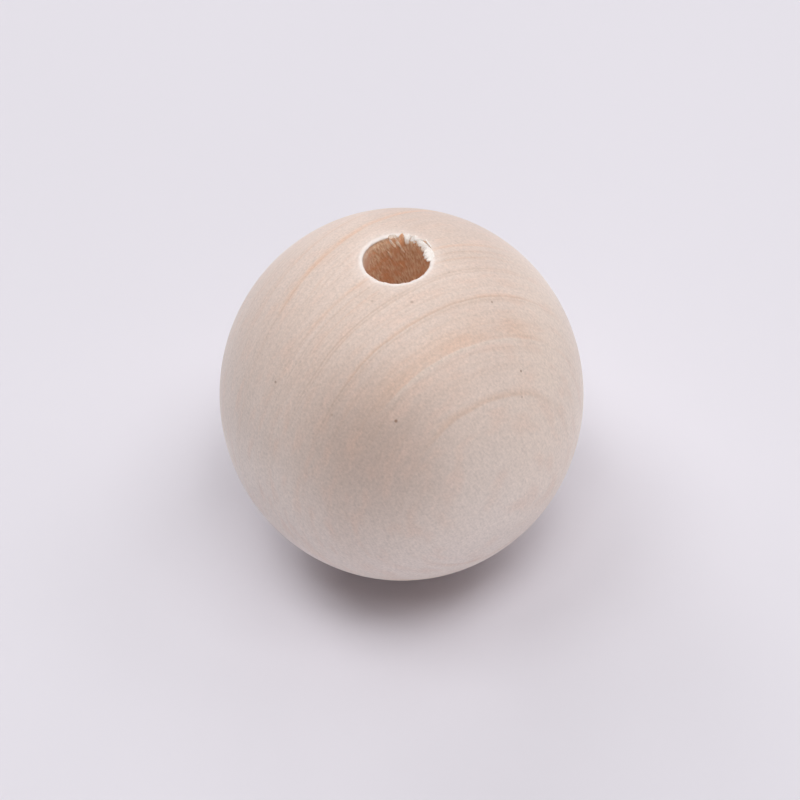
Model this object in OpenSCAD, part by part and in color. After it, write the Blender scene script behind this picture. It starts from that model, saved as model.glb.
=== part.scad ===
// A turned wooden ball with a hole drilled straight through it.
// The origin is the ball's centre and the hole runs along Z, so the ball
// stands on the rim of the hole's lower mouth.

/* [Ball] */
// Width of the ball, measured across the hole
ball_w = 40; // [20:0.5:60]
// Height of the turned form along the hole, before the drill takes its two poles off
ball_h = 42; // [20:0.5:60]

/* [Hole] */
// Diameter of the drilled hole
hole_d = 7; // [3:0.1:12]
// Width of the sanded rounding at each mouth, outwards from the hole's wall
rim_w = 0.5; // [0.2:0.05:1]

/* [Torn mouth] */
// Width of the widest chip that the drill tore out of the upper mouth
chip_w = 2; // [0.6:0.1:2.5]
// Depth of the deepest chip, outwards from the hole's wall
chip_depth = 0.8; // [0.2:0.05:1.5]
// Length of the longest chip, down the hole's wall
chip_l = 1.8; // [0.5:0.1:4]
// Width of the broadest splinter that still stands on the rim
splinter_w = 1; // [0.3:0.05:1.5]
// Length of the longest splinter
splinter_l = 1.3; // [0.6:0.1:2.5]
// Thickness of a splinter
splinter_t = 0.25; // [0.1:0.05:0.5]

/* [Hidden] */
$fn = 96;

wood = "#e3d0c3";

ball_r = ball_w / 2;
pole_z = ball_h / 2;
hole_r = hole_d / 2;

// The rounding of a mouth is an arc that leaves the hole's wall upright and
// meets the ball's own curve without a corner, at rim_w out from the wall.
rim_edge_r = hole_r + rim_w;
rim_edge_z = pole_z * sqrt(1 - pow(rim_edge_r / ball_r, 2));
rim_normal = unit([rim_edge_r / pow(ball_r, 2), rim_edge_z / pow(pole_z, 2)]);
rim_r = rim_w / (1 + rim_normal.x);
rim_centre = [hole_r + rim_r, rim_edge_z - rim_r * rim_normal.y];
rim_top_z = rim_centre.y + rim_r;

// The splinters stand this far out from the hole's wall, and end this far
// below the top of the rim.
splinter_gap = 0.04;
splinter_drop = 0.03;

// Each chip: its angle round the hole from +X, then its width, depth and
// length as shares of the largest chip's. Neighbours overlap, so together
// they leave a ragged ledge.
CHIPS = [[1, 0.6, 0.4, 0.35], [17, 0.9, 0.7, 0.45], [34, 0.8, 1, 0.55],
         [51, 1, 0.75, 0.45], [68, 0.75, 0.8, 0.6], [82, 0.45, 1, 1],
         [98, 0.7, 0.45, 0.5]];

// Each splinter: its angle round the hole from +X, its width and length as
// shares of the largest one's, how far it leans outwards, and how far its
// point lies off its middle, as a share of its width.
SPLINTERS = [[4, 0.6, 0.6, 4, 0.3], [14, 0.8, 0.75, 6, 0.2], [31, 0.9, 0.9, 10, -0.35],
             [47, 1, 0.8, 4, 0.25], [66, 0.7, 1, 9, -0.3]];

function unit(v) = v / norm(v);

// Half of the ball's section: an oval, less the hole.
module drilled_oval() {
    difference() {
        scale([ball_r, pole_z]) circle(r = 1);
        translate([-ball_w, -ball_h]) square([ball_w + hole_r, 2 * ball_h]);
    }
}

// The corner of the section that the rounding replaces at the upper mouth,
// between a level line to the wall and the ball's own normal.
module mouth_corner() {
    reach = 3 * rim_r;
    polygon([rim_centre,
             rim_centre + reach * rim_normal,
             rim_centre + reach * [-1, 1],
             rim_centre + reach * [-1, 0]]);
}

module at_both_mouths() {
    children();
    mirror([0, 1]) children();
}

module ball_section() {
    difference() {
        drilled_oval();
        at_both_mouths() mouth_corner();
    }
    at_both_mouths() intersection() {
        mouth_corner();
        translate(rim_centre) circle(r = rim_r);
    }
}

// A chip is a V groove across the rim. Its floor runs from depth out on the
// rim's top down to the hole's wall, length below it.
module chip(angle, width, depth, length) {
    fall = atan(length / depth);
    floor_l = norm([length, depth]);
    rotate(angle) translate([hole_r + depth, 0, rim_top_z])
        rotate([0, -fall, 0]) rotate([90, 0, -90])
            linear_extrude(height = 1.5 * floor_l)
                polygon([[0, 0], [width / 2, floor_l / 2], [width / 2, 2 * floor_l],
                         [-width / 2, 2 * floor_l], [-width / 2, floor_l / 2]]);
}

// A splinter is a pointed flake of fibres, modelled flat and stood upright
// along the rim. Its root is in the wood behind the wall and it leans away
// from the hole, so nothing reaches into the bore.
module splinter(angle, width, length, lean, tip) {
    root_z = rim_top_z - splinter_drop - length * cos(lean);
    rotate(angle) translate([hole_r + splinter_gap, 0, root_z])
        rotate([90, 0, 90]) rotate([lean, 0, 0])
            linear_extrude(height = splinter_t)
                polygon([[-width / 2, 0], [width / 2, 0], [width / 2, 0.7 * length],
                         [tip * width, length], [-width / 2, 0.8 * length]]);
}

module ball() {
    color(wood) {
        difference() {
            rotate_extrude() ball_section();
            for (c = CHIPS) chip(c[0], c[1] * chip_w, c[2] * chip_depth, c[3] * chip_l);
        }
        for (s = SPLINTERS) splinter(s[0], s[1] * splinter_w, s[2] * splinter_l, s[3], s[4]);
    }
}

ball();
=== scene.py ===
"""A turned wooden ball with a hole drilled through it, whose upper mouth is torn on one side."""

import math
import random

import bmesh
import bpy
from mathutils import Matrix, Quaternion, Vector


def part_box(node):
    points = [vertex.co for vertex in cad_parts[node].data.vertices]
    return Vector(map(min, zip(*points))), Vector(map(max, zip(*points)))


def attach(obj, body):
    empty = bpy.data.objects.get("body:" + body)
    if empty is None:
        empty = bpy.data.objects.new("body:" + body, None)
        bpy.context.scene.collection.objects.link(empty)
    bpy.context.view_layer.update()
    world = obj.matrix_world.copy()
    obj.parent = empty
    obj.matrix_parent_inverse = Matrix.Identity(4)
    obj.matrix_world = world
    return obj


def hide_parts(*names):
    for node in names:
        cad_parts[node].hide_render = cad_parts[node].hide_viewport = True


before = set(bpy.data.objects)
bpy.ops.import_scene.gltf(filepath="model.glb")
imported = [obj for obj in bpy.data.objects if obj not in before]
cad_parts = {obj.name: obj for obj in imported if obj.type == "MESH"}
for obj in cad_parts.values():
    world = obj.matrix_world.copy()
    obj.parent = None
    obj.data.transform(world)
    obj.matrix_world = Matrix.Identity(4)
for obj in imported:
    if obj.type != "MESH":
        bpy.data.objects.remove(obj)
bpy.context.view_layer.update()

# ---------------------------------------------------------------- The turned and drilled ball
# A ball of pale, close-grained hardwood, turned between centres a little longer than it is wide.
# A 7 mm drill went straight through it, along Z, and both mouths were rounded over with sandpaper.
MM = 0.001
NEAR = 0.001 * MM  # what lies closer than this is at one place
LOW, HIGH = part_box("ball")
BALL_R = HIGH.x
LONGER = 1.05  # height of the turned form over its width, before the drill took its poles off
HOLE_R = 3.5 * MM
LAND_R = 4.0 * MM  # the sandpaper left a narrow flat land round each mouth, out to here
RIM_R = 0.26 * MM  # rounding between the land and the wall
RIM_Z = HIGH.z - RIM_R  # height where the wall ends and the rounding starts
END_WALL = 8 * MM  # the upper and the lower stretch of the wall
MIDDLE_WALL = 2 * (RIM_Z - END_WALL)
OUTLINE_POINTS = 280  # 0.45 mm apart
RIM_STEPS = 8
FACETS = 288  # steps of the lathe's turn: 0.08 mm apart at the hole, 0.44 mm at the equator


def pick(piece, test):
    """In edit mode, selects only the points whose place passes the test."""
    points = bmesh.from_edit_mesh(piece.data)
    for vertex in points.verts:
        vertex.select_set(test(vertex.co))
    points.select_flush_mode()
    bmesh.update_edit_mesh(piece.data)


bpy.ops.object.select_all(action="DESELECT")
bpy.ops.mesh.primitive_circle_add(vertices=OUTLINE_POINTS, radius=BALL_R, rotation=(math.pi / 2, 0, 0))
ball = bpy.context.object
ball.name = ball.data.name = "wooden_ball"
bpy.ops.object.transform_apply(rotation=True)
bpy.ops.object.mode_set(mode="EDIT")
bpy.ops.mesh.select_mode(type="VERT")
bpy.ops.mesh.select_all(action="SELECT")
bpy.ops.transform.resize(value=(1, 1, LONGER))
bpy.ops.mesh.bisect(plane_co=(LAND_R, 0, 0), plane_no=(1, 0, 0), clear_inner=True, threshold=1e-8)
# The outline now runs from one mouth to the other. At each end it goes level across the land and
# is rounded over into the wall.
for side in (1, -1):
    pick(ball, lambda co: abs(co.x - LAND_R) < NEAR and co.z * side > 0)
    land_z = max(v.co.z * side for v in bmesh.from_edit_mesh(ball.data).verts if v.select)
    to_rim = (HOLE_R + RIM_R - LAND_R, 0, side * (HIGH.z - land_z))
    bpy.ops.mesh.extrude_region_move(TRANSFORM_OT_translate={"value": to_rim})
    rim_centre = (HOLE_R + RIM_R, 0, side * RIM_Z)
    bpy.ops.mesh.spin(steps=RIM_STEPS, angle=math.pi / 2, center=rim_centre, axis=(0, side, 0))
# From the upper rounding the wall goes down in three stretches. Only the upper one can be looked
# into, and it is cut every 0.14 mm.
pick(ball, lambda co: abs(co.x - HOLE_R) < NEAR and co.z > 0)
for stretch in (END_WALL, MIDDLE_WALL, END_WALL):
    bpy.ops.mesh.extrude_region_move(TRANSFORM_OT_translate={"value": (0, 0, -stretch)})
stretch_top = RIM_Z
for stretch, cuts in ((END_WALL, 56), (MIDDLE_WALL, 26), (END_WALL, 26)):
    middle = stretch_top - stretch / 2
    pick(ball, lambda co: abs(co.x - HOLE_R) < NEAR and abs(co.z - middle) < stretch / 2 + NEAR)
    bpy.ops.mesh.subdivide(number_cuts=cuts)
    stretch_top -= stretch
bpy.ops.mesh.select_all(action="SELECT")
bpy.ops.mesh.remove_doubles(threshold=NEAR)
bpy.ops.mesh.spin(steps=FACETS, angle=math.tau, center=(0, 0, 0), axis=(0, 0, 1))
bpy.ops.mesh.select_all(action="SELECT")
bpy.ops.mesh.remove_doubles(threshold=NEAR)
bpy.ops.mesh.normals_make_consistent(inside=False)
bpy.ops.object.mode_set(mode="OBJECT")

# ---------------------------------------------------------------- The torn stretch of the upper mouth
# Where the drill broke through against the grain it lifted the fibres instead of cutting them.
# From the +X side round to the far side the rounding is gone: V-shaped chips lead down into the
# wall, and pale flakes of wood still hang from the edge by one end.
random.seed(7)
WOOD, WALL, TORN = 0, 1, 2  # material slots of the ball
TOP = HIGH.z / MM  # height of the land in millimetres
BRUISED = 0.6 * MM  # reach of the sandpaper's and the drill's marks from the edge of a mouth


def polar(angle, radius, z):
    """A point from its angle in degrees, its distance from the axis and its height, in millimetres."""
    turned = math.radians(angle)
    return Vector((radius * math.cos(turned), radius * math.sin(turned), z)) * MM


def apply_modifier(piece, name, kind, **settings):
    """Adds a modifier to a piece, sets it and applies it."""
    bpy.ops.object.select_all(action="DESELECT")
    bpy.context.view_layer.objects.active = piece
    piece.select_set(True)
    modifier = piece.modifiers.new(name, kind)
    for setting, value in settings.items():
        setattr(modifier, setting, value)
    bpy.ops.object.modifier_apply(modifier=name)


def roughen(piece, name, grain_size, height, **settings):
    """Breaks up a smooth surface with clouds of that grain and that height, in millimetres."""
    texture = bpy.data.textures.new(name, "CLOUDS")
    texture.noise_scale = grain_size * MM
    apply_modifier(piece, name, "DISPLACE", texture=texture, texture_coords="LOCAL",
                   strength=height * MM, **settings)


def add_slots(piece, slot):
    """Gives a cutter or flake the ball's material slots, and all its faces that one."""
    for material in ball.data.materials:
        piece.data.materials.append(material)
    for face in piece.data.polygons:
        face.material_index = slot


for name in ("sanded_schima", "drill_browned_schima", "torn_schima"):
    ball.data.materials.append(bpy.data.materials.new(name))
for face in ball.data.polygons:
    if face.center.xy.length < HOLE_R + 0.02 * MM and abs(face.center.z) < RIM_Z:
        face.material_index = WALL

# Both mouths are a little uneven, most of all at the edge itself.
mouth = ball.vertex_groups.new(name="mouth")
for vertex in ball.data.vertices:
    away = max(abs(vertex.co.xy.length - HOLE_R - RIM_R), RIM_Z - abs(vertex.co.z)) / BRUISED
    if away < 1:
        mouth.add([vertex.index], 1 - max(away, 0) ** 2, "REPLACE")
roughen(ball, "ragged", 0.65, 0.2, vertex_group="mouth", mid_level=0.95)
ball.vertex_groups.clear()

chips = []
FACE_CUTS = 5  # each face of a cutter is cut this often, so that it can be roughened
HEADROOM = 0.1  # millimetres by which the cutters of the ledges stand above the wood
CUT_EVERY = 1.6  # degrees
RUN_OUT = 8  # degrees over which each end of a ledge runs out to nothing
# Ledges and splits that follow the mouth: from, to (degrees), inner and outer radius at the top, depth,
# how far its bottom lies from the axis, roughness, and the finish that shows in it
LEDGES = [
    (-9, 26, 3.2, 4.06, 0.5, 3.44, 0.07, TORN), (19, 58, 3.2, 4.15, 0.72, 3.44, 0.08, TORN),
    (52, 77, 3.2, 4.12, 0.6, 3.46, 0.07, TORN), (83, 108, 3.2, 4.02, 0.5, 3.46, 0.06, WALL),
    (20, 45, 3.94, 4.22, 0.5, 4.04, 0.03, WALL),
]  # fmt: skip
for first, last, inner, outer, deep, foot, rough, slot in LEDGES:
    bpy.ops.object.select_all(action="DESELECT")
    bpy.ops.mesh.primitive_cylinder_add(vertices=3, radius=1, depth=1)
    ledge = bpy.context.object
    corners = [v.co.xy.copy() for v in ledge.data.vertices if v.co.z > 0]
    bpy.ops.object.mode_set(mode="EDIT")
    bpy.ops.mesh.select_all(action="SELECT")
    bpy.ops.mesh.subdivide(number_cuts=FACE_CUTS)
    for cut in range(1, round((last - first) / CUT_EVERY)):
        bpy.ops.mesh.select_all(action="SELECT")
        height = cut * CUT_EVERY / (last - first) - 0.5
        bpy.ops.mesh.bisect(plane_co=(0, 0, height), plane_no=(0, 0, 1))
    bpy.ops.object.mode_set(mode="OBJECT")
    # The prism is laid round the mouth: its three edges follow the inner and outer radius and the
    # foot, and both its ends run out instead of stopping square.
    from_inner = Matrix((corners[1] - corners[0], corners[2] - corners[0])).inverted()
    top = TOP + HEADROOM
    for vertex in ledge.data.vertices:
        outward, downward = (vertex.co.xy - corners[0]) @ from_inner
        angle = first + (vertex.co.z + 0.5) * (last - first)
        end = max(min((angle - first) / RUN_OUT, (last - angle) / RUN_OUT, 1), 0.02) ** 0.6
        reach = (outer - inner) * outward + (foot - inner) * downward
        vertex.co = polar(angle, inner + reach * end, top - (deep + HEADROOM) * downward * end)
    roughen(ledge, "torn", 0.25, rough)
    add_slots(ledge, slot)
    chips.append(ledge)

# Each notch: angle, width at the top, depth outwards from the wall, length down the wall, lean, finish
NOTCHES = [
    (79.5, 0.8, 0.66, 1.1, 8, WALL), (63, 0.2, 0.62, 0.9, 16, WALL), (51, 0.16, 0.5, 0.55, 8, TORN),
    (40, 0.18, 0.4, 0.7, 6, TORN), (14, 0.18, 0.4, 0.45, 0, TORN), (1, 0.26, 0.55, 0.4, 0, WALL),
    (92, 0.2, 0.4, 0.6, 14, WALL), (101, 0.16, 0.34, 0.5, 14, WALL),
]  # fmt: skip
OVERSIZE = 1.2  # the cone that cuts a notch is this much bigger, and stands that far above the wood
for angle, width, depth, length, lean, slot in NOTCHES:
    bpy.ops.object.select_all(action="DESELECT")
    bpy.ops.mesh.primitive_cone_add(vertices=4, radius1=0, radius2=1, depth=1)
    notch = bpy.context.object
    bpy.ops.object.mode_set(mode="EDIT")
    bpy.ops.mesh.select_all(action="SELECT")
    bpy.ops.transform.translate(value=(0, 0, -0.5))
    size = Vector((depth, width / 2, length)) * OVERSIZE * MM
    bpy.ops.transform.resize(value=size, center_override=(0, 0, 0))
    bpy.ops.mesh.subdivide(number_cuts=FACE_CUTS)
    bpy.ops.object.mode_set(mode="OBJECT")
    notch.location = polar(angle, HOLE_R / MM, TOP + (OVERSIZE - 1) * length)
    notch.rotation_euler = (math.radians(lean), 0, math.radians(angle))
    bpy.ops.object.transform_apply(location=True, rotation=True)
    roughen(notch, "torn", 0.3, 0.06)
    add_slots(notch, slot)
    chips.append(notch)

# Each flake: where it still holds (angle, radius, depth below the top), where its end lies, then its
# width, thickness and how far its middle stands off the wood
FLAKES = [
    ((71.5, 4.2, 0.12), (69.5, 3.42, 1.2), 0.66, 0.2, 0.4),
    ((76, 4.05, 0.14), (74, 3.55, 0.62), 0.26, 0.14, 0.05),
    ((58, 4.2, 0.14), (56, 3.44, 0.62), 0.5, 0.2, 0.08),
    ((51, 4.15, 0.2), (50, 3.6, 0.5), 0.5, 0.16, 0.06),
    ((44.5, 4.0, 0.26), (44, 3.42, 0.66), 0.8, 0.2, 0.1),
    ((36, 3.95, 0.26), (35, 3.36, 0.98), 0.9, 0.2, 0.12),
    ((27.5, 3.92, 0.24), (27.5, 3.34, 0.78), 0.8, 0.2, 0.12),
    ((19, 3.98, 0.18), (18, 3.0, 0.56), 0.9, 0.3, 0.14),
    ((9.5, 4.02, 0.16), (8.5, 2.94, 0.5), 1.0, 0.34, 0.16),
    ((-0.5, 3.84, 0.16), (-1.5, 3.1, 0.42), 0.7, 0.26, 0.12),
    ((42, 4.28, 0.16), (21, 4.12, 0.12), 0.22, 0.16, 0.03),
]
# Strands of fibre that the drill pressed flat on the wall, given in the same way
STRANDS = [
    ((102, 3.75, 0.3), (89, 3.46, 1.8), 0.4, 0.18, 0.05),
    ((92, 3.75, 0.3), (80.5, 3.46, 1.75), 0.42, 0.18, 0.06),
    ((82, 3.5, 1.5), (75, 3.47, 2.3), 0.28, 0.14, 0.05),
    ((105, 3.5, 2.0), (97, 3.47, 3.3), 0.26, 0.13, 0.04),
    ((84, 3.5, 4.0), (78, 3.48, 4.65), 0.22, 0.12, 0.04),
]
FIBRES = 12  # bundles of fibre across a flake
TEETH = (-0.22, 0.06)  # how much a bundle ends short of the flake's length or beyond it
RIDGES = (-0.04, 0.04)  # millimetres by which a bundle lies deeper or stands up
ALONG_MOUTH = math.cos(math.radians(45))  # a flake within 45 degrees of the mouth's line runs round it
BRIM = 0.02  # millimetres that the flakes stay below the land
SQUASH = 0.08  # millimetres into which all that would rise higher is pressed down
bpy.ops.object.select_all(action="DESELECT")
bpy.ops.mesh.primitive_cube_add(size=1)
pattern = bpy.context.object
bpy.ops.object.mode_set(mode="EDIT")
bpy.ops.mesh.select_all(action="SELECT")
bpy.ops.mesh.subdivide(number_cuts=FIBRES - 1)
bpy.ops.object.mode_set(mode="OBJECT")
flakes = []
for number, (root, tip, width, thickness, lift) in enumerate(FLAKES + STRANDS):
    strand = number >= len(FLAKES)
    flake = bpy.data.objects.new("flake", pattern.data.copy())
    bpy.context.scene.collection.objects.link(flake)
    start, end = (polar(angle, radius, TOP - depth) for angle, radius, depth in (root, tip))
    along = end - start
    # A flake's width lies round the mouth, or outwards where the flake itself runs round it. Its
    # outer side faces up and toward the hole.
    around = polar(root[0] + 90, 1, 0).normalized()
    if abs(around.dot(along.normalized())) > ALONG_MOUTH:
        around = polar(root[0], 1, 0).normalized()
    off = around.cross(along).normalized()
    if off.dot(Vector((0, 0, 1)) - start.xy.to_3d().normalized()) < 0:
        off = -off
    middle = (start + end) / 2 + off * 2 * lift * MM
    teeth = [random.uniform(*TEETH) for _ in range(FIBRES + 1)]
    ridges = [random.uniform(*RIDGES) for _ in range(FIBRES + 1)]
    # The cube becomes a bundle of fibres, thick where it holds and thin at its sides and its frayed
    # end. u goes across it, v along it and w through it.
    for vertex in flake.data.vertices:
        u, v, w = vertex.co.x, vertex.co.y + 0.5, vertex.co.z
        fibre = round((u + 0.5) * FIBRES)
        v *= 1 + (teeth[fibre] - 1.1 * abs(u) ** 2.5) * v**2
        place = start * (1 - v) ** 2 + middle * 2 * v * (1 - v) + end * v**2
        narrow = 0.25 + 0.75 * math.sin(math.pi * min(v, 1)) if strand else 1 - 0.45 * v**1.6
        body = w * thickness * (1.1 - 0.7 * v) * math.sqrt(1.05 - (2 * u) ** 2)
        crown = (0.25 - u * u) * width * 0.3
        raised = crown + body + ridges[fibre] * (w + 0.5)
        vertex.co = place + around * u * width * narrow * MM + off * raised * MM
    roughen(flake, "fibres", 0.25, 0.05)
    for vertex in flake.data.vertices:
        above = vertex.co.z / MM - TOP + BRIM + SQUASH
        if above > 0:
            vertex.co.z = HIGH.z - (BRIM + SQUASH / (1 + above / SQUASH)) * MM
    add_slots(flake, TORN)
    flakes.append(flake)
bpy.data.objects.remove(pattern)

# The chips come out of the ball and the flakes grow onto it, so that all is one closed solid.
for group, action in ((chips, "DIFFERENCE"), (flakes, "UNION")):
    for piece in group:
        bpy.ops.object.select_all(action="DESELECT")
        bpy.context.view_layer.objects.active = piece
        piece.select_set(True)
        bpy.ops.object.mode_set(mode="EDIT")
        bpy.ops.mesh.select_all(action="SELECT")
        bpy.ops.mesh.normals_make_consistent(inside=False)
        bpy.ops.object.mode_set(mode="OBJECT")
    for piece in group[1:]:
        apply_modifier(group[0], "grown", "BOOLEAN", operation="UNION", solver="MANIFOLD", object=piece)
        bpy.data.objects.remove(piece)
    apply_modifier(ball, action, "BOOLEAN", operation=action, solver="MANIFOLD", object=group[0])
    bpy.data.objects.remove(group[0])
bpy.ops.object.select_all(action="DESELECT")
bpy.context.view_layer.objects.active = ball
ball.select_set(True)
bpy.ops.object.shade_smooth_by_angle(angle=math.radians(35))

# ---------------------------------------------------------------- The finish of the wood
# The ball is bare schima, a pale and even hardwood with faint pink growth rings, sanded smooth on
# the lathe and left without oil or lacquer, so that it looks soft and nearly matt.
# Sockets of a Map Range node: 0 is the value, 1 and 2 where the change begins and ends, 3 and 4 what
# it gives there, which is 0 and 1 if nothing is said
SMOOTH = {"interpolation_type": "SMOOTHSTEP"}


def hex_colour(text):
    """An sRGB hex colour as the linear RGBA that a shader takes."""
    parts = [int(text[i : i + 2], 16) / 255 for i in (1, 3, 5)]
    return (*[p / 12.92 if p <= 0.04045 else ((p + 0.055) / 1.055) ** 2.4 for p in parts], 1)


def add(tree, kind, inputs=(), **settings):
    """Adds a node to a tree, sets it, fills its inputs with values or links, and gives its output."""
    made = tree.nodes.new("ShaderNode" + kind)
    for name, value in settings.items():
        setattr(made, name, value)
    for socket, value in dict(inputs).items():
        if isinstance(value, bpy.types.NodeSocket):
            tree.links.new(value, made.inputs[socket])
        else:
            made.inputs[socket].default_value = value
    return next(output for output in made.outputs if output.enabled)


def combined(tree, values, operation="ADD"):
    """The values of a list made one: added up, or multiplied, or the greatest of them."""
    made = values[0]
    for value in values[1:]:
        made = add(tree, "Math", {0: made, 1: value}, operation=operation)
    return made


def painted(tree, base, coats):
    """A base colour with others laid over it in turn, each by its own share."""
    for share, colour in coats:
        base = add(tree, "Mix", {0: share, 6: base, 7: hex_colour(colour)}, data_type="RGBA")
    return base


# The grain's own frame. Growth rings cross the ball as nearly flat sheets, square to RINGS; the
# fibres run along FIBRE, and the third direction lies in the sheets, across the fibres.
RINGS = Vector((0.5036, -0.8604, 0.0779)).normalized()
FIBRE = Vector((0.319, 0.160, -0.934))
FIBRE = (FIBRE - FIBRE.dot(RINGS) * RINGS).normalized()
SHEET = FIBRE.cross(RINGS)


def grain(tree):
    """A place in millimetres, and its parts across the fibres, across the rings and along the fibres."""
    place = add(tree, "TexCoord").node.outputs["Object"]
    place = add(tree, "VectorMath", {0: place, 3: 1 / MM}, operation="SCALE")
    parts = [
        add(tree, "VectorMath", {0: place, 1: direction}, operation="DOT_PRODUCT")
        for direction in (SHEET, RINGS, FIBRE)
    ]
    return place, parts


def grain_pattern(tree, parts, scales, detail):
    """Noise along the grain's own directions, with that many cycles in a millimetre along each."""
    scaled = [add(tree, "Math", {0: part, 1: n}, operation="MULTIPLY") for part, n in zip(parts, scales)]
    place = add(tree, "CombineXYZ", dict(enumerate(scaled)))
    return add(tree, "TexNoise", {"Vector": place, "Scale": 1.0, "Detail": detail})


def from_axis(tree, place):
    """The distance of a place from the hole's axis."""
    level = add(tree, "VectorMath", {0: place, 1: (1.0, 1.0, 0.0)}, operation="MULTIPLY")
    return add(tree, "VectorMath", {0: level}, operation="LENGTH")


def facing(tree, turn, middle):
    """How far a turn about the rings is toward the middle: 1 there, 0 a quarter turn off, -1 opposite."""
    return add(tree, "Math", {0: add(tree, "Math", {0: turn, 1: middle}, operation="SUBTRACT")},
               operation="COSINE")


def faded(tree, turn, middle, low, high):
    """Full where the turn about the rings is near the middle or opposite to it, and faint between."""
    either_way = add(tree, "Math", {0: facing(tree, turn, middle)}, operation="ABSOLUTE")
    return add(tree, "MapRange", {0: either_way, 1: low, 2: high, 3: 0.1, 4: 1.0}, **SMOOTH)


material = ball.data.materials[WOOD]
material.use_nodes = True
tree = material.node_tree
shader = tree.nodes["Principled BSDF"]
place, parts = grain(tree)
across, ring, along = parts
x, _, z = add(tree, "SeparateXYZ", {0: place}).node.outputs

# Rings behind the hole lean away from the others, as sheets round a far pith do, and all of them
# waver by 0.3 mm over 9 mm and by 0.06 mm over 1 mm.
LEAN_ACROSS, LEAN_ALONG = 0.205, 0.0615  # millimetres in a millimetre
lean = add(tree, "Math", {0: across, 1: LEAN_ACROSS}, operation="MULTIPLY")
lean = add(tree, "Math", {0: along, 1: LEAN_ALONG, 2: lean}, operation="MULTIPLY_ADD")
behind = add(tree, "MapRange", {0: ring, 1: -3.0, 2: 2.0, 3: 1.0, 4: 0.0}, **SMOOTH)
depth = add(tree, "Math", {0: ring, 1: combined(tree, [lean, behind], "MULTIPLY")}, operation="SUBTRACT")
for cycles, waver in ((0.11, 0.6), (0.9, 0.12)):
    wave = add(tree, "TexNoise", {"Vector": place, "Scale": cycles, "Detail": 2.0})
    wave = add(tree, "Math", {0: wave, 1: waver, 2: -waver / 2}, operation="MULTIPLY_ADD")
    depth = combined(tree, [depth, wave])

# Growth rings: place, rise and fall of the band in mm, its redness and its darkness. The wood grew
# redder toward the end of each year and then started pale again.
BROAD = 13.05  # place of the broadest band
GROWTH = [
    (17.0, 0.5, 0.18, 0.5, 0.22), (BROAD, 2.8, 0.22, 0.78, 0.1), (9.3, 0.45, 0.14, 0.85, 0.8),
    (9.62, 0.14, 0.12, 0.1, 0.45), (6.35, 0.16, 0.12, 0.15, 0.5), (6.02, 0.16, 0.12, 0.2, 0.6),
    (4.46, 0.16, 0.14, 0.5, 0.3), (3.52, 0.18, 0.14, 0.25, 0.6), (2.5, 0.45, 0.3, 0.7, 0.15),
    (-0.4, 0.3, 0.2, 0.2, 0.2), (-2.6, 0.9, 0.45, 1.4, 0.3), (-5.9, 0.9, 0.16, 0.5, 0.4),
    (-9.1, 0.4, 0.14, 0.3, 0.6), (-12.6, 1.3, 0.16, 0.6, 0.5), (-16.2, 0.5, 0.16, 0.3, 0.6),
]  # fmt: skip
LINE = 0.2  # the dark line at the end of a year is at most this wide
red, dark = [], []
for centre, rise, fall, redness, darkness in GROWTH:
    after = add(tree, "MapRange", {0: depth, 1: centre, 2: centre + fall, 3: 1.0, 4: 0.0}, **SMOOTH)
    for bands, width, strength in ((red, rise, redness), (dark, min(rise, LINE), darkness)):
        before = add(tree, "MapRange", {0: depth, 1: centre - width, 2: centre}, **SMOOTH)
        bands.append(combined(tree, [before, after, strength], "MULTIPLY"))
red, dark = combined(tree, red), combined(tree, dark)
# The broadest band ends in a light line.
light = combined(tree, [
    add(tree, "MapRange", {0: depth, 1: BROAD, 2: BROAD + 0.2}, **SMOOTH),
    add(tree, "MapRange", {0: depth, 1: BROAD + 0.25, 2: BROAD + 0.5, 3: 1.0, 4: 0.0}, **SMOOTH),
], "MULTIPLY")  # fmt: skip

# Rings show where they are cut square across, toward both ends of the fibres, and fade in between.
# Their colour fades sooner than their lines, and also comes and goes along them over a few millimetres.
REDDEST, DARKEST, LIGHTEST, FAINTEST = 0.55, 0.3, 0.3, 0.17  # share of its colour that each shows at most
turn = add(tree, "Math", {0: across, 1: along}, operation="ARCTAN2")
shown = faded(tree, turn, 0.2, 0.5, 0.88)
tinted = faded(tree, turn, 0.4, 0.7, 0.93)
patch = grain_pattern(tree, parts, (0.3, 0.6, 0.2), 3.0)
patch = add(tree, "MapRange", {0: patch, 1: 0.25, 2: 0.6, 3: 0.3, 4: 1.0}, **SMOOTH)
red = combined(tree, [red, patch, tinted, REDDEST], "MULTIPLY")
dark = combined(tree, [dark, shown], "MULTIPLY")
light = combined(tree, [light, tinted, tinted, LIGHTEST], "MULTIPLY")
# The innermost ring, cut nearly flat, also shows faintly on the +X side.
innermost = combined(tree, [
    add(tree, "MapRange", {0: depth, 1: 16.5, 2: 16.95}, **SMOOTH),
    add(tree, "MapRange", {0: depth, 1: 16.95, 2: 17.2, 3: 1.0, 4: 0.0}, **SMOOTH),
    add(tree, "MapRange", {0: facing(tree, turn, 0.85 - math.pi), 1: 0.35, 2: 0.75}, **SMOOTH),
], "MULTIPLY")  # fmt: skip
dark = add(tree, "Math", {0: innermost, 1: 0.32, 2: dark}, operation="MULTIPLY_ADD")
dark = combined(tree, [dark, DARKEST], "MULTIPLY")

# Inside each ring lie fainter layers, lines about 0.3 mm apart that run along the rings.
layers = grain_pattern(tree, (across, depth, along), (0.05, 3.6, 0.03), 3.0)
layers = combined(tree, [
    add(tree, "MapRange", {0: layers, 1: 0.35, 2: 0.75}, **SMOOTH),
    shown,
    add(tree, "MapRange", {0: depth, 1: 14.0, 2: 17.0, 3: 1.0, 4: 0.0}, **SMOOTH),
    FAINTEST,
], "MULTIPLY")  # fmt: skip

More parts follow.
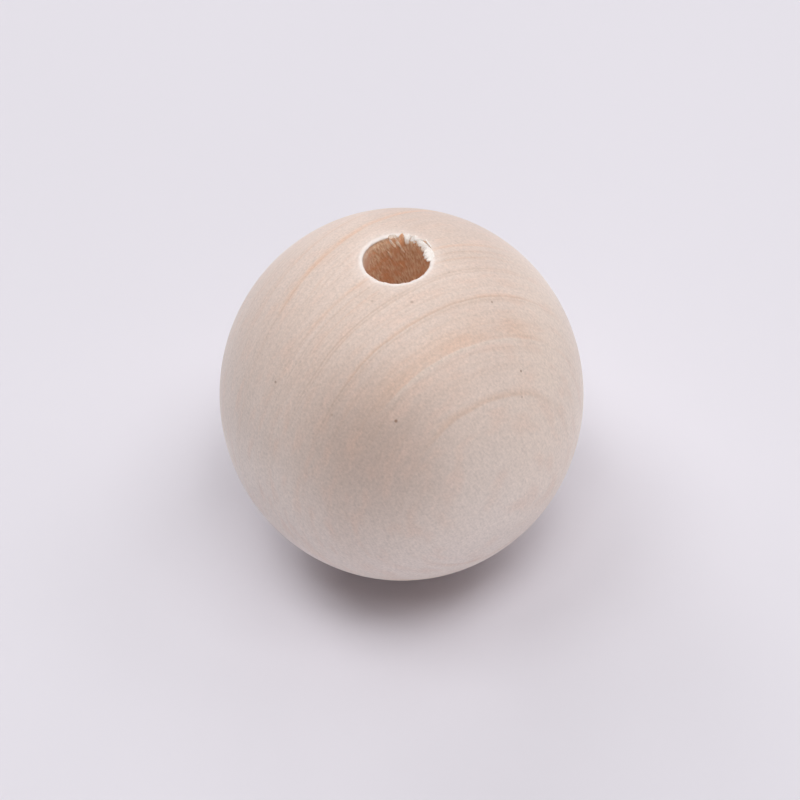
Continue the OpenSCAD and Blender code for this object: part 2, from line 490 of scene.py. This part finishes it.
# The wood's own shades: a slow drift in tone, a pinker top and a blush that comes and goes. Painted
# light and shade lie over them: the top painted darker, painted shade behind the hole and in a patch on
# the -Y side, and painted light low on the +X side, toward the edge of the -X side and over the +X side
tone = grain_pattern(tree, parts, (0.15, 0.4, 0.08), 3.0)
tone = add(tree, "MapRange", {0: tone, 1: 0.3, 2: 0.7}, **SMOOTH)
# A pinker top of the wood, also painted darker: painted shade over the top
pinker_top_and_painted_shade = add(tree, "MapRange", {0: z, 1: 6.0, 2: 17.0, 4: 0.45}, **SMOOTH)
# Painted shade: the top behind the hole is drawn duller
painted_shade_behind_hole = add(tree, "VectorMath", {0: place, 1: (0.4, 0.5, 0.77)}, operation="DOT_PRODUCT")
painted_shade_behind_hole = add(tree, "MapRange", {0: painted_shade_behind_hole, 1: 16.5, 2: 19.5, 4: 0.7}, **SMOOTH)
# Painted light: the wood is drawn paler low on the +X side, toward the camera
painted_light_low_front = add(tree, "VectorMath", {0: place, 1: (0.45, -0.3, -0.84)}, operation="DOT_PRODUCT")
painted_light_low_front = add(tree, "MapRange", {0: painted_light_low_front, 1: 1.0, 2: 14.0, 4: 0.75}, **SMOOTH)
# Painted light: the -X side is drawn paler toward its edge
painted_light_left_edge = add(tree, "VectorMath", {0: place, 1: (-0.75, -0.6, -0.3)}, operation="DOT_PRODUCT")
painted_light_left_edge = add(tree, "MapRange", {0: painted_light_left_edge, 1: 16.0, 2: 19.5, 4: 0.6}, **SMOOTH)
# Painted shade: a darker patch on the -Y side
painted_shade_front_patch = add(tree, "VectorMath", {0: place, 1: (-3.0, -17.1, 10.3)}, operation="DISTANCE")
painted_shade_front_patch = add(tree, "MapRange", {0: painted_shade_front_patch, 1: 1.0, 2: 13.0, 3: 0.85, 4: 0.0}, **SMOOTH)
# Painted light: the +X side is drawn paler and warmer
painted_light_plus_x = add(tree, "MapRange", {0: x, 1: 9.0, 2: 17.0, 4: 0.6}, **SMOOTH)
blush = grain_pattern(tree, parts, (0.3, 0.9, 0.25), 1.5)
blush = add(tree, "MapRange", {0: blush, 1: 0.45, 2: 0.75, 4: 0.28}, **SMOOTH)
base = painted(tree, hex_colour("#dbcabf"), [
    (tone, "#decec4"), (pinker_top_and_painted_shade, "#dcc4b7"), (painted_shade_behind_hole, "#cdb8ac"), (painted_light_low_front, "#f3e6dd"), (painted_light_left_edge, "#f3e6dd"),
    (painted_shade_front_patch, "#baa599"), (painted_light_plus_x, "#f1ddce"), (blush, "#e2c0ae"), (red, "#dfb79c"), (dark, "#a98c76"),
    (light, "#ecdfd4"), (layers, "#b9977f"),
])  # fmt: skip

# Fibres are about 0.02 mm wide and couldn't be seen, so they are drawn as streaks 0.2 mm wide and
# 0.8 mm long. With them go the short wood rays and a speckle of pores, 0.3 mm across.
streaks = grain_pattern(tree, parts, (5.0, 5.0, 1.2), 1.0)
rays = grain_pattern(tree, parts, (6.0, 1.6, 2.0), 2.0)
pores = add(tree, "TexNoise", {"Vector": place, "Scale": 3.4, "Detail": 1.0})
FINE_GRAIN = ((pores, 0.3), (streaks, 0.25), (rays, 0.12))
fine = 1 - sum(share for _, share in FINE_GRAIN) / 2  # brings the average to 1
for pattern, share in FINE_GRAIN:
    fine = add(tree, "Math", {0: pattern, 1: share, 2: fine}, operation="MULTIPLY_ADD")
fine_colour = add(tree, "CombineColor", {0: fine, 1: fine, 2: fine})
base = add(tree, "Mix", {0: 1.0, 6: base, 7: fine_colour}, data_type="RGBA", blend_type="MULTIPLY")

# Bark flecks and tiny knots: place, radius in mm and strength
SPECKS = [
    ((-0.68, -15.96, 12.64), 0.3, 0.9), ((12.62, -9.58, 12.82), 0.24, 0.8),
    ((-13.19, -9.38, 12.34), 0.26, 0.7), ((9.85, -4.12, 17.76), 0.24, 0.7),
    ((1.45, -5.96, 19.99), 0.3, 0.45), ((-2.71, -5.56, 19.97), 0.26, 0.35),
    ((12.62, -11.52, 10.91), 0.2, 0.5), ((-7.31, -14.45, 12.32), 0.22, 0.4),
    ((5.46, -1.79, 20.12), 0.18, 0.35), ((11.3, 14.2, 8.9), 0.28, 0.7),
    ((-8.6, 15.9, -8.2), 0.24, 0.6), ((17.9, 2.4, -9.2), 0.26, 0.6), ((-4.8, -9.9, -17.6), 0.26, 0.6),
]  # fmt: skip
specks = []
for centre, reach, strength in SPECKS:
    away = add(tree, "VectorMath", {0: place, 1: centre}, operation="DISTANCE")
    edges = {1: 0.2 * reach, 2: 0.85 * reach, 3: 0.95 * strength, 4: 0.0}
    specks.append(add(tree, "MapRange", {0: away, **edges}, **SMOOTH))

# Dust and bruised fibres leave a paler ring round each mouth.
radius = from_axis(tree, place)
pale = combined(tree, [
    add(tree, "MapRange", {0: radius, 1: 3.8, 2: 4.2, 3: 0.6, 4: 0.0}, **SMOOTH),
    add(tree, "MapRange", {0: radius, 1: 4.0, 2: 5.4, 3: 0.2, 4: 0.0}, **SMOOTH),
])  # fmt: skip
base = painted(tree, base, [(combined(tree, specks, "MAXIMUM"), "#8a6a54"), (pale, "#f0e8e4")])
tree.links.new(base, shader.inputs["Base Color"])
shader.inputs["Roughness"].default_value = 0.6
shader.inputs["IOR"].default_value = 1.5
shader.inputs["Sheen Weight"].default_value = 0.3
shader.inputs["Sheen Roughness"].default_value = 0.5
bump = add(tree, "Bump", {"Height": fine, "Strength": 0.15, "Distance": 0.08 * MM})
tree.links.new(bump, shader.inputs["Normal"])

# The wall of the hole: wood browned by the drill's friction, dry and rough. Its raised fibres are
# drawn 0.2 mm wide, coarser than they are. It is paler on the -X side near the mouth, and where wood
# broke out above the drilled part.
material = ball.data.materials[WALL]
material.use_nodes = True
tree = material.node_tree
shader = tree.nodes["Principled BSDF"]
place, parts = grain(tree)
x, _, z = add(tree, "SeparateXYZ", {0: place}).node.outputs
raised = grain_pattern(tree, parts, (5.0, 5.0, 1.2), 4.0)
fibres = add(tree, "MapRange", {0: raised, 1: 0.3, 2: 0.7}, **SMOOTH)
blotch = add(tree, "TexNoise", {"Vector": place, "Scale": 0.8, "Detail": 3.0})
blotch = add(tree, "MapRange", {0: blotch, 1: 0.42, 2: 0.72}, **SMOOTH)
# Paler toward the mouth on the -X side of the wall
paler_left_wall = combined(tree, [
    add(tree, "MapRange", {0: x, 1: -3.5, 2: -2.3, 3: 0.6, 4: 0.0}, **SMOOTH),
    add(tree, "MapRange", {0: z, 1: 16.5, 2: 19.0}, **SMOOTH),
], "MULTIPLY")  # fmt: skip
fresh = combined(tree, [
    add(tree, "MapRange", {0: from_axis(tree, place), 1: 3.5, 2: 3.75}, **SMOOTH),
    add(tree, "MapRange", {0: z, 1: 19.9, 2: 20.3}, **SMOOTH),
    add(tree, "MapRange", {0: x, 1: 0.2, 2: 0.5, 3: 1.0, 4: 0.0}, **SMOOTH),
], "MULTIPLY")  # fmt: skip
wall = painted(tree, hex_colour("#deac86"), [
    (fibres, "#fde6cc"), (blotch, "#ebb48c"), (paler_left_wall, "#fbe6d8"), (fresh, "#e8dacf"),
])  # fmt: skip
tree.links.new(wall, shader.inputs["Base Color"])
shader.inputs["Roughness"].default_value = 0.8
bump = add(tree, "Bump", {"Height": raised, "Strength": 0.5, "Distance": 0.2 * MM})
tree.links.new(bump, shader.inputs["Normal"])

# Torn fibres: bare wood that scatters light in every direction, nearly white at the mouth, creamier
# and then browner down the wall. Their threads too are drawn coarser, 0.12 mm wide and 1 mm long.
material = ball.data.materials[TORN]
material.use_nodes = True
tree = material.node_tree
shader = tree.nodes["Principled BSDF"]
place, parts = grain(tree)
z = add(tree, "SeparateXYZ", {0: place}).node.outputs["Z"]
raised = grain_pattern(tree, parts, (8.0, 8.0, 1.0), 2.0)
torn = painted(tree, hex_colour("#ece2db"), [
    (add(tree, "MapRange", {0: raised, 1: 0.3, 2: 0.7}, **SMOOTH), "#f5f0ec"),
    (add(tree, "MapRange", {0: z, 1: 19.4, 2: 20.3, 3: 1.0, 4: 0.0}, **SMOOTH), "#fae4cf"),
    (add(tree, "MapRange", {0: z, 1: 16.0, 2: 18.6, 3: 0.9, 4: 0.0}, **SMOOTH), "#dcb18a"),
])  # fmt: skip
tree.links.new(torn, shader.inputs["Base Color"])
shader.inputs["Roughness"].default_value = 0.75
bump = add(tree, "Bump", {"Height": raised, "Strength": 0.25, "Distance": 0.1 * MM})
tree.links.new(bump, shader.inputs["Normal"])

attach(ball, "root")
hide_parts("ball")

# ---------------------------------------------------------------- Floor, light and camera
# The ball stands on a sheet of pale, matt card, under soft round lamps and a faint warm fill. The
# camera looks down on it from -Y.
FLOOR_SIZE = 4
BACKDROP = hex_colour("#e3e0e8")
FILL = hex_colour("#29211b")


def looked_at(tree):
    """1 for what is seen straight, mirrored or through glass, and 0 for light on its way to a surface."""
    path = add(tree, "LightPath").node.outputs
    seen = [path["Is " + ray + " Ray"] for ray in ("Camera", "Glossy", "Transmission")]
    return combined(tree, seen, "MAXIMUM")


bpy.ops.mesh.primitive_plane_add(size=FLOOR_SIZE, location=(0, 0, LOW.z))
floor = bpy.context.object
floor.name = "floor"
material = bpy.data.materials.new("matt_card")
material.use_nodes = True
tree = material.node_tree
shader = tree.nodes["Principled BSDF"]
shader.inputs["Base Color"].default_value = hex_colour("#e0dde5")
shader.inputs["Roughness"].default_value = 0.9
shader.inputs["Specular IOR Level"].default_value = 0.1
# Well away from the ball, where the lamps no longer reach, the card blends into the backdrop.
place = add(tree, "TexCoord").node.outputs["Object"]
away = add(tree, "VectorMath", {0: place}, operation="LENGTH")
away = add(tree, "MapRange", {0: away, 1: 0.25, 2: 0.6}, **SMOOTH)
away = combined(tree, [away, looked_at(tree)], "MULTIPLY")
backdrop = add(tree, "Emission", {"Color": BACKDROP, "Strength": 1.0})
card = add(tree, "MixShader", {0: away, 1: shader.outputs[0], 2: backdrop})
tree.links.new(card, tree.nodes["Material Output"].inputs["Surface"])
floor.data.materials.append(material)

EYE_ELEVATION = math.radians(46)
EYE_DISTANCE = 0.34
EYE_ROLL = math.radians(2.14)
LENS, SENSOR = 139, 36
FRAME_PX = 800
SHIFT_PX = (-1.57, -5.3)
back = Vector((0, -math.cos(EYE_ELEVATION), math.sin(EYE_ELEVATION)))
bpy.ops.object.camera_add(location=back * EYE_DISTANCE)
camera = bpy.context.object
camera.rotation_euler = (back.to_track_quat("Z", "Y") @ Quaternion((0, 0, 1), -EYE_ROLL)).to_euler()
camera.data.sensor_width = SENSOR
camera.data.lens = LENS
camera.data.shift_x, camera.data.shift_y = (shift / FRAME_PX for shift in SHIFT_PX)
camera.data.clip_start = 0.01
scene = bpy.context.scene
scene.camera = camera
scene.view_settings.view_transform = "Standard"

world = bpy.data.worlds.new("studio")
scene.world = world
world.use_nodes = True
tree = world.node_tree
sky = add(tree, "Mix", {0: looked_at(tree), 6: FILL, 7: BACKDROP}, data_type="RGBA")
tree.links.new(sky, tree.nodes["Background"].inputs["Color"])
# Soft round lamps: angle from +X, elevation, watts
LAMPS = [
    (270, 70, 1.8), (180, 70, 1.33), (330, 70, 1.32), (120, 30, 1.05), (90, 30, 0.89), (60, 12, 0.79),
    (270, 12, 0.52), (150, 50, 0.66), (30, 50, 0.65), (300, 12, 0.53), (0, 50, 0.52),
]  # fmt: skip
LAMP_DISTANCE = 0.8
LAMP_SIZE = 0.36
for angle, elevation, watts in LAMPS:
    tilt = math.radians(elevation)
    toward = polar(angle, math.cos(tilt), math.sin(tilt)) / MM
    bpy.ops.object.light_add(type="AREA", location=toward * LAMP_DISTANCE)
    lamp = bpy.context.object
    lamp.rotation_euler = toward.to_track_quat("Z", "Y").to_euler()
    lamp.data.shape = "DISK"
    lamp.data.size = LAMP_SIZE
    lamp.data.energy = watts
